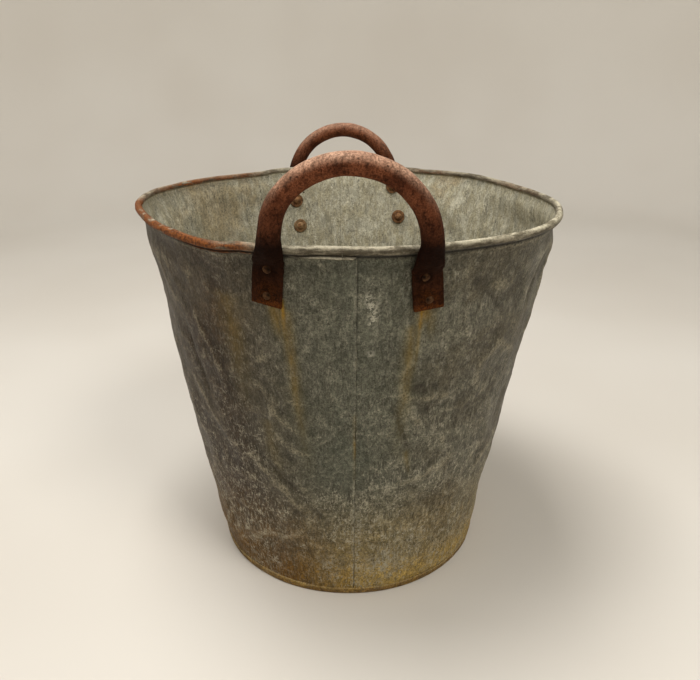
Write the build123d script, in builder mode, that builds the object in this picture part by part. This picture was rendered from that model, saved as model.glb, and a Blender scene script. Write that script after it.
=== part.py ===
"""Tapered bucket in galvanised sheet steel, with two riveted bar handles.

The wall is two half cones that lap at the front and at the back. Its top edge is
rolled round a steel wire, and its foot is clenched in the hem of a recessed bottom.
Each handle is a round bar, bent to a half circle, whose ends are forged out to flat
tabs. Two rivets hold each tab to the wall, each with a plate washer on the inside.
Both handles were fitted by hand, so each sits at its own height and a little askew.

Frame: +Z up, front handle towards -Y, origin on the floor under the middle.
Left and right are as seen from the front. All sizes are in millimetres and degrees.
"""

from build123d import *
import math
import os

os.makedirs("parts", exist_ok=True)

# Wall
SHEET = 0.9
WALL_FOOT_R = 154.2  # outer radius where the cone's line meets the floor
WALL_RIM_R = 218.0  # outer radius at the height of the rim wire
RIM_Z = 405.0  # middle of the rim wire
FOOT_EDGE_Z = 1.3  # lower edge of the wall, inside the hem
FIT_GAP = 0.05  # air between sheets and pieces that lie against each other

# Seams, as azimuths from +X
FRONT_BUTT = 268.8
REAR_BUTT = 93.3
LAP = 3.2  # width of the flange that laps over the next panel
LAP_ROOT = 0.8  # width of the step that joins the flange to its own panel
LAP_FOOT_Z = 11.5  # the flange runs from the hem
LAP_TOP_Z = 399.5  # to just under the rim

# Rim
WIRE_R = 2.8
CURL_WRAP = 284.0  # how far the sheet is rolled round the wire

# Bottom
HEM_Z = 9.0
FLOOR_Z = 10.5  # underside of the recessed disc

# Handles
ARCH_R = 65.75  # centreline of the half circle
ARCH_REACH = 225.5  # from the bucket's axis to the middle of the arch
BAR_WIDTH = 18.4  # across the bar, in the plane of the arch
BAR_DEPTH = 17.6
BAR_CORNER_R = 8.4
LEAN = 10.0  # of the arch, outwards from upright
TAB_WIDTH = 28.0
TAB_GAP = 0.35  # a flat tab stands off a round wall by this much
TAB_DEPTH = 4.0
TAB_EDGE_R = 1.3
TAB_CORNER_R = 3.0
LEG_RISE = 32.0  # from the top of a tab to the end of the arch

# The leg swings out from the top of its tab to clear the rim: outwards and upwards.
LEG_SWING = ((9.9, 6.2), (14.8, 12.4))

# Sections of the leg: share of the way up, width, depth and corner radius.
LEG_SECTIONS = (
    (0.0, TAB_WIDTH, TAB_DEPTH, TAB_EDGE_R),
    (0.18, 27.5, 4.4, 1.6),
    (0.34, 26.4, 5.6, 2.2),
    (0.52, 24.0, 8.6, 3.6),
    (0.74, 20.6, 13.4, 6.0),
    (1.0, BAR_WIDTH, BAR_DEPTH, BAR_CORNER_R),
)

# Rivets and washers
SHANK_R = 2.6
HOLE_R = 2.7
TAIL_R = 4.1  # hammered end, outside on the tab
TAIL_HEIGHT = 1.7
HEAD_R = 5.4  # domed head, inside on the washer
HEAD_HEIGHT = 3.0
WASHER_R = 9.0
WASHER_DEPTH = 1.6
SEAT_CHECKS = 24  # places round a washer's edge where its seat is worked out

# Places on a handle are given as distances across and up one side of the bucket,
# seen from outside. "arch" is the middle of the half circle and "tilt" turns it.
# "top" and "foot" end the centreline of a tab, and "slant" turns its lower edge.
HANDLES = {
    "front": {
        "azimuth": 270.0,
        "arch": (1.0, 414.5),
        "tilt": -2.6,
        "legs": (
            {
                "name": "left",
                "hand": -1,
                "top": (-65.5, 393.8),
                "foot": (-68.8, 355.0),
                "slant": -2.5,
                "upper": (-65.6, 389.8),
                "lower": (-67.2, 365.5),
            },
            {
                "name": "right",
                "hand": 1,
                "top": (65.0, 387.6),
                "foot": (68.4, 350.8),
                "slant": -3.5,
                "upper": (63.0, 383.0),
                "lower": (67.4, 361.5),
            },
        ),
    },
    "rear": {
        "azimuth": 90.0,
        "arch": (8.0, 386.0),
        "tilt": -6.4,
        "legs": (
            {
                "name": "right",
                "hand": -1,
                "top": (-59.5, 384.2),
                "foot": (-69.0, 328.0),
                "slant": 2.0,
                "upper": (-59.8, 379.5),
                "lower": (-68.2, 340.2),
            },
            {
                "name": "left",
                "hand": 1,
                "top": (72.6, 367.5),
                "foot": (66.0, 315.0),
                "slant": -2.0,
                "upper": (71.9, 362.0),
                "lower": (67.1, 328.0),
            },
        ),
    },
}

TAPER = math.degrees(math.atan2(WALL_RIM_R - WALL_FOOT_R, RIM_Z))
BEAD_R = WIRE_R + FIT_GAP + SHEET
WIRE_RING_R = WALL_RIM_R + WIRE_R + FIT_GAP


def wall_r(z):
    """Outer radius of the wall at height z."""
    return WALL_FOOT_R + (WALL_RIM_R - WALL_FOOT_R) * z / RIM_Z


def sheet_across():
    """Thickness of the tapered wall along the horizontal."""
    return SHEET / math.cos(math.radians(TAPER))


def radial_plane(azimuth):
    """Upright plane through the axis: local X runs outwards and local Y runs up."""
    a = math.radians(azimuth)
    out = (math.cos(a), math.sin(a), 0)
    return Plane(origin=(0, 0, 0), x_dir=out, z_dir=(out[1], -out[0], 0))


def turned(plane, angle):
    """The same plane with its local X turned towards its local Y."""
    a = math.radians(angle)
    x_dir = plane.x_dir * math.cos(a) + plane.y_dir * math.sin(a)
    return Plane(origin=plane.origin, x_dir=x_dir, z_dir=plane.z_dir)


def side_point(azimuth, across, radius, z):
    """A point given by its distance across one side, its radius and its height."""
    a = math.radians(azimuth)
    out = math.sqrt(radius**2 - across**2)
    return Vector(
        out * math.cos(a) - across * math.sin(a),
        out * math.sin(a) + across * math.cos(a),
        z,
    )


def wall_plane(azimuth, across, z):
    """Plane on the wall's outer face: local X across, local Y up, local Z outwards."""
    turn = math.radians(azimuth) + math.asin(across / wall_r(z))
    taper = math.radians(TAPER)
    out = Vector(math.cos(turn), math.sin(turn), 0)
    side = Vector(-math.sin(turn), math.cos(turn), 0)
    normal = out * math.cos(taper) - Vector(0, 0, math.sin(taper))
    spot = side_point(azimuth, across, wall_r(z), z)
    return Plane(origin=spot, x_dir=side, z_dir=normal)


def wall_panel(name, start, stop, rivet_planes):
    """Half of the wall, with its share of the rolled rim and its lap flange."""
    contact = 180 - TAPER
    inner_foot = wall_r(FOOT_EDGE_Z) - sheet_across()
    reach = WIRE_R + FIT_GAP
    with BuildPart() as panel:
        with BuildSketch(radial_plane(start)):
            with BuildLine():
                inner_roll = CenterArc((WIRE_RING_R, RIM_Z), reach, contact, -CURL_WRAP)
                outer_roll = CenterArc(
                    (WIRE_RING_R, RIM_Z), reach + SHEET, contact, -CURL_WRAP
                )
                Line(inner_roll @ 1, outer_roll @ 1)
                Polyline(
                    outer_roll @ 0,
                    (inner_foot, FOOT_EDGE_Z),
                    (wall_r(FOOT_EDGE_Z), FOOT_EDGE_Z),
                    inner_roll @ 0,
                )
            make_face()
        revolve(axis=Axis.Z, revolution_arc=stop - start)

        # Flange over the next panel, and the step that carries it.
        for first, arc, low, high in (
            (stop - LAP_ROOT, LAP_ROOT + LAP, FIT_GAP, FIT_GAP + sheet_across()),
            (stop - LAP_ROOT, LAP_ROOT, -sheet_across() / 2, sheet_across()),
        ):
            with BuildSketch(radial_plane(first)):
                with BuildLine():
                    Polyline(
                        (wall_r(LAP_FOOT_Z) + low, LAP_FOOT_Z),
                        (wall_r(LAP_FOOT_Z) + high, LAP_FOOT_Z),
                        (wall_r(LAP_TOP_Z) + high, LAP_TOP_Z),
                        (wall_r(LAP_TOP_Z) + low, LAP_TOP_Z),
                        close=True,
                    )
                make_face()
            revolve(axis=Axis.Z, revolution_arc=arc)

        for plane in rivet_planes:
            with Locations(plane.offset(TAB_DEPTH)):
                Hole(HOLE_R, depth=TAB_DEPTH + WASHER_DEPTH + HEAD_HEIGHT)
    panel.part.label = name
    return panel.part


def rim_wire():
    """Closed ring of wire inside the rolled rim."""
    with BuildPart() as wire:
        with BuildSketch(Plane.XZ):
            with Locations((WIRE_RING_R, RIM_Z)):
                Circle(WIRE_R)
        revolve(axis=Axis.Z)
    wire.part.label = "rim_wire"
    return wire.part


def bottom_pan():
    """Recessed disc with a skirt that turns under the wall and up round its foot."""
    skirt_out = wall_r(0) - sheet_across() - FIT_GAP
    hem_in = wall_r(HEM_Z) + FIT_GAP
    with BuildPart() as pan:
        with BuildSketch(Plane.XZ):
            with BuildLine():
                Polyline(
                    (0, FLOOR_Z),
                    (skirt_out - SHEET, FLOOR_Z),
                    (skirt_out - SHEET, 0),
                    (wall_r(0) + SHEET + FIT_GAP, 0),
                    (hem_in + SHEET, HEM_Z),
                    (hem_in, HEM_Z),
                    (wall_r(SHEET) + FIT_GAP, SHEET),
                    (skirt_out, SHEET),
                    (skirt_out, FLOOR_Z + SHEET),
                    (0, FLOOR_Z + SHEET),
                    close=True,
                )
            make_face()
        revolve(axis=Axis.Z)
        upper_rim = pan.edges().filter_by(GeomType.CIRCLE).group_by(Axis.Z)[-1]
        fillet(upper_rim.sort_by(SortBy.LENGTH)[-1], SHEET / 2)
        foot_bend = pan.edges().filter_by(GeomType.CIRCLE).group_by(Axis.Z)[0]
        fillet(foot_bend, SHEET / 2)
    pan.part.label = "bottom_pan"
    return pan.part


def tab_plane(handle, leg):
    """Plane under a flat tab: origin at the tab's top, local Y up its centreline."""
    azimuth = handle["azimuth"]
    (top_x, top_z), (foot_x, foot_z) = leg["top"], leg["foot"]
    flat = wall_plane(azimuth, (top_x + foot_x) / 2, (top_z + foot_z) / 2)
    top = flat.to_local_coords(side_point(azimuth, top_x, wall_r(top_z), top_z))
    foot = flat.to_local_coords(side_point(azimuth, foot_x, wall_r(foot_z), foot_z))
    turn = math.degrees(math.atan2(foot.X - top.X, top.Y - foot.Y))
    origin = flat.from_local_coords((top.X, top.Y, 0))
    return turned(Plane(origin=origin, x_dir=flat.x_dir, z_dir=flat.z_dir), turn)


def rivet_plane(handle, leg, level):
    """Plane under a tab at one of its rivets."""
    across, z = leg[level]
    under = tab_plane(handle, leg)
    spot = under.to_local_coords(side_point(handle["azimuth"], across, wall_r(z), z))
    origin = under.from_local_coords((spot.X, spot.Y, 0))
    return Plane(origin=origin, x_dir=under.x_dir, z_dir=under.z_dir)


def washer_seat(plane):
    """Depth under a rivet's plane at which a flat washer clears the hollow wall."""
    standing_out = []
    for location in PolarLocations(WASHER_R, SEAT_CHECKS).local_locations:
        edge = plane.from_local_coords(location.position)
        inner_r = wall_r(edge.Z) - sheet_across()
        standing_out.append(math.hypot(edge.X, edge.Y) - inner_r)
    return max(standing_out) * math.cos(math.radians(TAPER)) + FIT_GAP


def arch_plane(handle):
    """Plane of the arch: origin at its middle, local X across, local Y up the lean."""
    azimuth = math.radians(handle["azimuth"])
    lean = math.radians(LEAN)
    across, up = handle["arch"]
    out = Vector(math.cos(azimuth), math.sin(azimuth), 0)
    side = Vector(-math.sin(azimuth), math.cos(azimuth), 0)
    origin = out * ARCH_REACH + side * across + Vector(0, 0, up)
    face = out * math.cos(lean) - Vector(0, 0, math.sin(lean))
    return turned(Plane(origin=origin, x_dir=side, z_dir=face), handle["tilt"])


def arch_end_angle(handle, leg):
    """Angle above the spring line at which the arch ends and the leg begins."""
    rise = leg["top"][1] + LEG_RISE - handle["arch"][1]
    level = math.asin(rise / (ARCH_R * math.cos(math.radians(LEAN))))
    return math.degrees(level) - leg["hand"] * handle["tilt"]


def arch_end_plane(handle, leg):
    """Section plane at one end of the arch: local X away from the other leg's side."""
    arch = arch_plane(handle)
    angle = math.radians(arch_end_angle(handle, leg))
    hand = leg["hand"]
    spot = (hand * ARCH_R * math.cos(angle), ARCH_R * math.sin(angle), 0)
    across = arch.x_dir * math.cos(angle) + arch.y_dir * hand * math.sin(angle)
    upward = arch.y_dir * math.cos(angle) - arch.x_dir * hand * math.sin(angle)
    return Plane(origin=arch.from_local_coords(spot), x_dir=across, z_dir=upward)


def leg_planes(handle, leg):
    """Section planes of a leg, from the top of its tab to the end of the arch."""
    azimuth = handle["azimuth"]
    under = tab_plane(handle, leg)
    first = under.from_local_coords((0, 0, TAB_GAP + TAB_DEPTH / 2))
    end = arch_end_plane(handle, leg)
    side = Vector(-math.sin(math.radians(azimuth)), math.cos(math.radians(azimuth)), 0)
    swing = []
    for out, up in LEG_SWING:
        share = up / LEG_RISE
        across = first.dot(side) * (1 - share) + end.origin.dot(side) * share
        radius = math.hypot(first.X, first.Y) + out
        swing.append(side_point(azimuth, across, radius, first.Z + up))
    with BuildLine() as path:
        Spline(first, *swing, end.origin, tangents=(under.y_dir, end.z_dir))
    planes = []
    for share, *_ in LEG_SECTIONS:
        # The leg keeps facing the wall while it is wide, and turns late.
        turn = share**2
        across = under.x_dir * (1 - turn) + end.x_dir * turn
        along = path.line % share
        across = (across - along * across.dot(along)).normalized()
        planes.append(Plane(origin=path.line @ share, x_dir=across, z_dir=along))
    return planes


def handle_part(name, handle):
    """One handle: the arched bar, two forged legs and two flat tabs."""
    arch = arch_plane(handle)
    right_leg = next(leg for leg in handle["legs"] if leg["hand"] == 1)
    trimmed = sum(arch_end_angle(handle, leg) for leg in handle["legs"])
    with BuildPart() as bar:
        for leg in handle["legs"]:
            under = tab_plane(handle, leg)
            top_z, foot_z = leg["top"][1], leg["foot"][1]
            length = (top_z - foot_z) / math.cos(math.radians(TAPER))
            drop = TAB_WIDTH / 2 * math.tan(math.radians(leg["slant"]))
            with BuildSketch(under.offset(TAB_GAP)) as outline:
                with BuildLine():
                    Polyline(
                        (-TAB_WIDTH / 2, 0),
                        (-TAB_WIDTH / 2, -length - drop),
                        (TAB_WIDTH / 2, -length + drop),
                        (TAB_WIDTH / 2, 0),
                        close=True,
                    )
                make_face()
                lower = outline.vertices().sort_by(Axis(under.origin, under.y_dir))[:2]
                fillet(lower, TAB_CORNER_R)
            extrude(amount=TAB_DEPTH)
            outside = bar.faces().sort_by(Axis(under.origin, under.z_dir))[-1]
            top_edge = outside.edges().sort_by(Axis(under.origin, under.y_dir))[-1]
            fillet(outside.edges() - [top_edge], TAB_EDGE_R)

        for leg in handle["legs"]:
            for plane, section in zip(leg_planes(handle, leg), LEG_SECTIONS):
                with BuildSketch(plane):
                    RectangleRounded(*section[1:])
            loft()

        with BuildSketch(arch_end_plane(handle, right_leg)):
            RectangleRounded(BAR_WIDTH, BAR_DEPTH, BAR_CORNER_R)
        revolve(axis=Axis(arch.origin, arch.z_dir), revolution_arc=180 - trimmed)

        # The backs of the legs are dressed to clear the rim.
        with BuildSketch(Plane.XZ):
            with Locations((WIRE_RING_R, RIM_Z)):
                Circle(BEAD_R + TAB_GAP)
        revolve(axis=Axis.Z, mode=Mode.SUBTRACT)

        for leg in handle["legs"]:
            for level in ("upper", "lower"):
                with Locations(rivet_plane(handle, leg, level).offset(TAB_DEPTH * 2)):
                    Hole(HOLE_R, depth=TAB_DEPTH * 2.5)
    bar.part.label = name
    return bar.part


def rivet_part(name, plane):
    """Rivet: domed head inside, shank, and hammered tail on the tab."""
    tail_z = TAB_GAP + TAB_DEPTH + FIT_GAP
    seat_z = -washer_seat(plane) - WASHER_DEPTH - FIT_GAP
    with BuildPart() as rivet:
        with BuildSketch(Plane(origin=plane.origin, x_dir=plane.x_dir, z_dir=-plane.y_dir)):
            with BuildLine():
                Polyline(
                    (HEAD_R, seat_z), (SHANK_R, seat_z), (SHANK_R, tail_z), (TAIL_R, tail_z)
                )
                TangentArc((0, tail_z + TAIL_HEIGHT), (TAIL_R, tail_z), tangent=(1, 0))
                Line((0, tail_z + TAIL_HEIGHT), (0, seat_z - HEAD_HEIGHT))
                TangentArc((0, seat_z - HEAD_HEIGHT), (HEAD_R, seat_z), tangent=(1, 0))
            make_face()
        revolve(axis=Axis(plane.origin, plane.z_dir))
    rivet.part.label = name
    return rivet.part


def washer_part(name, plane):
    """Plate washer between the wall and a rivet's head."""
    with BuildPart() as washer:
        with BuildSketch(plane.offset(-washer_seat(plane))):
            Circle(WASHER_R)
            Circle(HOLE_R, mode=Mode.SUBTRACT)
        extrude(amount=-WASHER_DEPTH)
        inner_face = washer.faces().sort_by(Axis(plane.origin, plane.z_dir))[0]
        fillet(inner_face.outer_wire().edges(), WASHER_DEPTH / 3)
    washer.part.label = name
    return washer.part


rivet_planes = {
    f"{side}_{leg['name']}_{level}": rivet_plane(handle, leg, level)
    for side, handle in HANDLES.items()
    for leg in handle["legs"]
    for level in ("upper", "lower")
}

pieces = [
    wall_panel("body_panel_left", REAR_BUTT, FRONT_BUTT, rivet_planes.values()),
    wall_panel("body_panel_right", FRONT_BUTT, REAR_BUTT + 360, rivet_planes.values()),
    rim_wire(),
    bottom_pan(),
]
for side, handle in HANDLES.items():
    pieces.append(handle_part(f"handle_{side}", handle))
for spot, plane in rivet_planes.items():
    pieces.append(rivet_part(f"rivet_{spot}", plane))
    pieces.append(washer_part(f"washer_{spot}", plane))

for piece in pieces:
    export_step(piece, f"parts/{piece.label}.step")
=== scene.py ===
"""Looks of the weathered florist bucket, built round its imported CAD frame.

The frame is round and true. Here the sheet metal gets its dents, creases, wavy rim and
worn edges, the forged handles their hammered faces, and everything its zinc and rust.
Metres and degrees, in the frame's own axes: +Z up, front towards -Y. Azimuths run
anticlockwise from +X, seen from above, so the front is at 270 and the back at 90.
"""

import math
from itertools import product
from types import SimpleNamespace

import bmesh
import bpy
import numpy as np
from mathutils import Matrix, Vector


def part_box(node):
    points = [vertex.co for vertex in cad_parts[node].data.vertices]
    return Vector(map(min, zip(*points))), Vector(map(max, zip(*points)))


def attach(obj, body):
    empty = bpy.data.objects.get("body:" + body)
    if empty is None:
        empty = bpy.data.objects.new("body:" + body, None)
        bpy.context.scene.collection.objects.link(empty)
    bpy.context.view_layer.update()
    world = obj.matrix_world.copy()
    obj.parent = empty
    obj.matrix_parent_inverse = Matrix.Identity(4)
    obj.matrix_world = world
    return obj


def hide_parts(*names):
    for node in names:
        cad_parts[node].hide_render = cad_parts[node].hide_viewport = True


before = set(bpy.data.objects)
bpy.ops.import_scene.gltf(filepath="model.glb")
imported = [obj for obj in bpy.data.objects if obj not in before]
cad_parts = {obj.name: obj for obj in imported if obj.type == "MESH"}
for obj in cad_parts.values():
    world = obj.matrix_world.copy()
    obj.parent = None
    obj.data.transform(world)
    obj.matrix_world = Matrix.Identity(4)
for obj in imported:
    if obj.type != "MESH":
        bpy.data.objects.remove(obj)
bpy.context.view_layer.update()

MM = 0.001

# Sheet metal
SHEET = 0.9 * MM
FIT_GAP = 0.05 * MM  # air between sheets that lie against each other
HEM_TOP = 9.0 * MM
FOOT_EDGE = 1.3 * MM  # lower edge of the wall, inside the hem
FRONT_BUTT = 268.8  # azimuths where the two halves of the wall meet
REAR_BUTT = 93.3
BUTT_GAP = 0.05  # half the gap between them, in degrees
LAP_ROOT = 0.9  # the flange leaves its own half this far before the butt
LAP = 3.2  # and laps over the next half by this much
LAP_FOOT = 11.5 * MM
LAP_TOP = 399.5 * MM
LAP_COLUMNS = (-LAP_ROOT, -0.6, -0.3, 0.0, 0.6, 1.4, 2.2, 2.8, LAP)  # from the butt
LAP_FLARE = 1.9 * MM  # the flange stands out by this much at its top
LAP_SINK = 0.08 * MM  # it starts this far inside its own half's outer face
LAP_THINNING = 0.1 * MM  # and is thinner than the sheet by this much
ROLL_SET = 56.0  # the bead bulges inwards too: the sheet meets the wire this far round its inside
ROLL_END = -96.0  # the raw edge, under the bead
NECK = 15.0 * MM  # height of the step outwards below the bead
FLOOR_CORNER = 1.6 * MM  # radius of the bend from the bottom to its skirt
HEM_TURN = 2.33 * MM  # at the hem, from the wall's outer face in to the skirt of the bottom
NEAR_RIM = 9 * MM  # the wall moves with the rim down to this far below it
RIM_REACH = 42 * MM  # it is pushed out with the rim down to here
SAG_REACH = 200 * MM  # and moved up or down with it to here
TAB_END = 9 * MM  # from a tab's lower rivet to its end
TAB_CALM = (19 * MM, 46 * MM)  # the wall is true nearer to a tab, and free further away

# The handles' legs and rivets, and the direction in Y in which each side faces
LEGS = ("left", "right")
LEVELS = ("upper", "lower")
OUTWARDS = {"front": -1, "rear": 1}

# Mesh density
WALL_STEP = 3.0 * MM
AZIMUTH_STEP = 0.75
BESIDE_LAP = (-0.4, -0.1, 0.05, 0.2, 0.4)  # extra columns by a flange's edge, for its shadow
ROLL_ROWS = 38
LIP_ROWS = 10  # of them, for the part that can hang down
WIRE_FACETS = 20
FLOOR_RINGS = 52

# Shape of the dented wall, in millimetres and degrees. Each bulge is a soft round push:
# azimuth, height, spread round the wall (degrees), spread up the wall, outwards.
WALL_BULGES = (
    (198, 215, 22, 40, 2.8),
    (198, 268, 14, 13, 1.2),
    (198, 303, 16, 10, -1.3),
    (198, 325, 18, 16, -1.6),
    (198, 350, 18, 16, -1.4),
    (200, 385, 16, 14, 1.2),
    (198, 130, 22, 45, 2.2),
    (198, 45, 24, 30, 2.8),
    (342, 385, 18, 24, 6.4),
    (342, 305, 22, 36, 2.0),
    (342, 78, 24, 32, -2.4),
    (300, 355, 9, 26, -2.2),
    (312, 235, 10, 30, -1.6),
    (232, 300, 10, 40, -1.8),
    (243, 175, 9, 30, 1.6),
    (20, 180, 16, 50, -2.6),
    (60, 290, 14, 40, 2.2),
    (118, 150, 14, 45, -2.4),
    (150, 280, 16, 50, 2.2),
)
# Each wave of the rim: azimuth, spread, outwards, upwards.
RIM_WAVES = (
    (168, 15, 6.0, 0.4),
    (124, 15, -2.0, -2.0),
    (66, 9, -1.0, -0.9),
    (48, 9, 3.0, 0.0),
    (12, 22, -5.0, -0.6),
    (322, 17, 4.5, -0.9),
    (266, 8, 0.0, 1.1),
    (239, 11, 1.0, -2.5),
    (205, 13, -3.2, 1.0),
)
# Each crease: azimuth and height of its two ends, width, and height (valleys below 0).
CREASES = (
    (239, 196, 263, 108, 3.2, -2.3),
    (236, 190, 258, 106, 5.6, 2.0),
    (340, 392, 336, 262, 4.0, 3.2),
    (334, 372, 326, 318, 3.2, -2.3),
    (280, 262, 302, 250, 3.2, 2.0),
    (282, 250, 290, 190, 2.8, -1.8),
    (284, 150, 306, 178, 3.6, 1.8),
    (224, 342, 232, 250, 3.6, 2.2),
    (217, 318, 224, 228, 3.6, -2.2),
    (214, 250, 232, 176, 3.2, 1.8),
    (300, 376, 314, 330, 4.0, -2.6),
    (246, 250, 256, 214, 3.2, 1.7),
    (312, 300, 330, 270, 3.2, 2.2),
    (318, 130, 336, 168, 4.0, 1.8),
    (30, 330, 52, 260, 4.0, 2.6),
    (110, 320, 128, 250, 4.0, -2.6),
    (60, 170, 84, 120, 4.0, 2.3),
    (146, 200, 168, 150, 4.0, 2.3),
)
CRUMPLES = ((74.0, 1.3), (36.0, 0.85), (17.0, 0.32))  # ridged noise: size across, height
SWELL = (115.0, 1.3)  # broad smooth noise: size across, height
REAR_SAG = 3.6  # the back half of the rim is lower by this much
FRONT_LIFT = 2.3  # and the front half is higher
RIM_WOBBLE = (0.5, 0.35)  # noise along the rim: outwards, upwards
CREASE_WANDER = 3.5  # how far creases stray from their straight line
NOISE_R = 0.2  # radius at which noise is looked up where both faces need the same
# The raw edge of the roll hangs below the bead here: azimuths of the two ends, and how much.
HANGING_LIPS = ((217.0, 250.0, 0.6), (251.0, 272.0, 1.0))
LIP_START = -58.0  # where on the bead it leaves the wire
LIP_DROP = 3.0  # millimetres from there to the raw edge where it hangs most
LIP_HOLLOW = 3.4  # it turns inwards first
LIP_FLARE = 5.2  # and outwards at the end


# ---------------------------------------------------------------- noise and blending

NOISE_GAIN = 1.6  # brings the noise to about -1 to 1
RIDGE_GAIN = 1.6  # how narrow the ridges of ridged noise are


class Noise:
    """Smooth seeded noise of points in space, from about -1 to 1."""

    def __init__(self, seed):
        draw = np.random.default_rng(seed)
        self.order = draw.permutation(256)
        arrows = draw.normal(size=(256, 3))
        self.arrows = arrows / np.linalg.norm(arrows, axis=1, keepdims=True)

    def __call__(self, points, size):
        place = points / size
        cell = np.floor(place).astype(int)
        inside = place - cell
        fade = inside**3 * (inside * (inside * 6 - 15) + 10)
        total = np.zeros(points.shape[:-1])
        for corner in np.ndindex(2, 2, 2):
            x, y, z = np.moveaxis((cell + corner) & 255, -1, 0)
            key = self.order[(self.order[(self.order[x] + y) & 255] + z) & 255]
            weight = np.prod(np.where(corner, fade, 1 - fade), axis=-1)
            total += weight * np.sum(self.arrows[key] * (inside - corner), axis=-1)
        return total * NOISE_GAIN

    def layered(self, points, size, layers=4):
        """Noise with finer layers on top, each half as large and half as strong."""
        return sum(self(points, size / 2**i) / 2**i for i in range(layers))

    def ridged(self, points, size):
        """Noise with sharp ridges, from 0 in the hollows to 1 on the ridges."""
        return (1 - np.minimum(np.abs(self(points, size)) * RIDGE_GAIN, 1)) ** 2


def smooth(low, high, value):
    """0 up to low, 1 from high on, and a smooth rise between them."""
    t = np.clip((value - low) / (high - low), 0, 1)
    return t * t * (3 - 2 * t)


def turn(a, b):
    """Degrees from azimuth b to azimuth a, from -180 to 180."""
    return (a - b + 180) % 360 - 180


def bell(distance, spread):
    """1 at no distance, falling away smoothly on both sides."""
    return np.exp(-((distance / spread) ** 2))


def to_segment(points, start, end):
    """Distance from each point to the straight line from start to end, and the share along it."""
    along = end - start
    share = np.clip((points - start) @ along / (along @ along), 0, 1)
    nearest = start + share[..., None] * along
    return np.linalg.norm(points - nearest, axis=-1), share


# ------------------------------------------------------------ dimensions of the frame

wire_low, wire_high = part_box("rim_wire")
pan_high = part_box("bottom_pan")[1]
WIRE_R = (wire_high.z - wire_low.z) / 2
RIM_Z = (wire_high.z + wire_low.z) / 2
RING_R = wire_high.x - WIRE_R  # of the rim wire's centreline
FLOOR_TOP = pan_high.z
WALL_AT_HEM = pan_high.x - SHEET - FIT_GAP
WALL_AT_RIM = RING_R - WIRE_R - FIT_GAP
SLOPE = (WALL_AT_RIM - WALL_AT_HEM) / (RIM_Z - HEM_TOP)
TAPER = math.degrees(math.atan(SLOPE))
BEAD_R = WIRE_R + FIT_GAP + SHEET
SKIRT_R = WALL_AT_HEM - HEM_TURN  # outer face of the bottom's skirt


def wall_radius(z):
    """Outer radius of the true cone at height z."""
    return WALL_AT_HEM + SLOPE * (z - HEM_TOP)


def middle_of(node):
    """The middle of a CAD node's box."""
    low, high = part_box(node)
    return np.array((low + high) / 2)


def on_round(azimuth, radius, z):
    """Points from azimuths, radii and heights that broadcast together."""
    a = np.radians(azimuth)
    x, y, z = np.broadcast_arrays(radius * np.cos(a), radius * np.sin(a), z)
    return np.stack((x, y, z), axis=-1)


def clear_of_tabs(points):
    """0 where a handle's tab lies on the wall or its leg passes the rim, and 1 away from it."""
    free = np.ones(points.shape[:-1])
    for side in OUTWARDS:
        for leg in LEGS:
            lower = middle_of(f"rivet_{side}_{leg}_lower")
            upper = middle_of(f"rivet_{side}_{leg}_upper")
            down = (lower - upper) * (TAB_END / np.linalg.norm(lower - upper))
            rim = upper * np.array((WALL_AT_RIM / wall_radius(upper[2]),) * 2 + (1,))
            rim[2] = RIM_Z
            near = np.minimum(
                to_segment(points, upper, lower + down)[0], to_segment(points, upper, rim)[0]
            )
            free = np.minimum(free, smooth(*TAB_CALM, near))
    return free


# --------------------------------------------------------------- shape of the sheet

crumple_noise = Noise(11)
swell_noise = Noise(12)
edge_noise = Noise(13)


def rim_shift(azimuth):
    """How far the rim is pushed outwards and upwards."""
    out = sum(o * bell(turn(azimuth, a), s) for a, s, o, _ in RIM_WAVES)
    up = sum(u * bell(turn(azimuth, a), s) for a, s, _, u in RIM_WAVES)
    ring = on_round(azimuth, WALL_AT_RIM, RIM_Z)
    wobble = swell_noise.layered(ring, 60 * MM, 3)
    free = clear_of_tabs(ring)
    backwards = np.sin(np.radians(azimuth))
    sag = FRONT_LIFT * smooth(0.1, -0.7, backwards) - REAR_SAG * smooth(-0.15, 0.4, backwards)
    up = sag + (up + RIM_WOBBLE[1] * wobble) * free
    return ((out + RIM_WOBBLE[0] * wobble) * free + SLOPE * sag) * MM, up * MM


def crease_relief(azimuth, z):
    """The listed creases, in millimetres, for azimuths and heights of the same shape."""
    relief = np.zeros(np.shape(z))
    for a0, z0, a1, z1, width, height in CREASES:
        scale = math.radians(wall_radius(z0 * MM)) / MM  # millimetres per degree
        here = np.stack((turn(azimuth, a0) * scale, z / MM - z0), axis=-1)
        end = np.array((turn(a1, a0) * scale, z1 - z0))
        wander = CREASE_WANDER * crumple_noise(on_round(azimuth, NOISE_R, z), 45 * MM)
        distance, share = to_segment(here + wander[..., None], np.zeros(2), end)
        fade = np.sin(np.pi * np.clip(share, 0.04, 0.96)) ** 0.7
        relief += height * fade * np.exp(-distance / width)
    return relief


def wall_relief(azimuth, z):
    """How far the wall is dented outwards, without the rim, for arrays of the same shape."""
    true = on_round(azimuth, wall_radius(z), z)
    size, height = SWELL
    relief = height * swell_noise.layered(true, size * MM, 2)
    for size, height in CRUMPLES:
        relief += height * (crumple_noise.ridged(true, size * MM) - 0.35)
    relief += crease_relief(azimuth, z)
    for a, h, round_spread, up_spread, out in WALL_BULGES:
        relief += out * bell(turn(azimuth, a), round_spread) * bell(z / MM - h, up_spread)
    seam = np.minimum(abs(turn(azimuth, FRONT_BUTT + 1)), abs(turn(azimuth, REAR_BUTT + 1)))
    calm = 0.35 + 0.65 * smooth(3, 16, seam)
    calm *= 0.25 + 0.75 * smooth(6 * MM, 50 * MM, z)
    return relief * calm * clear_of_tabs(true) * MM


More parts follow.
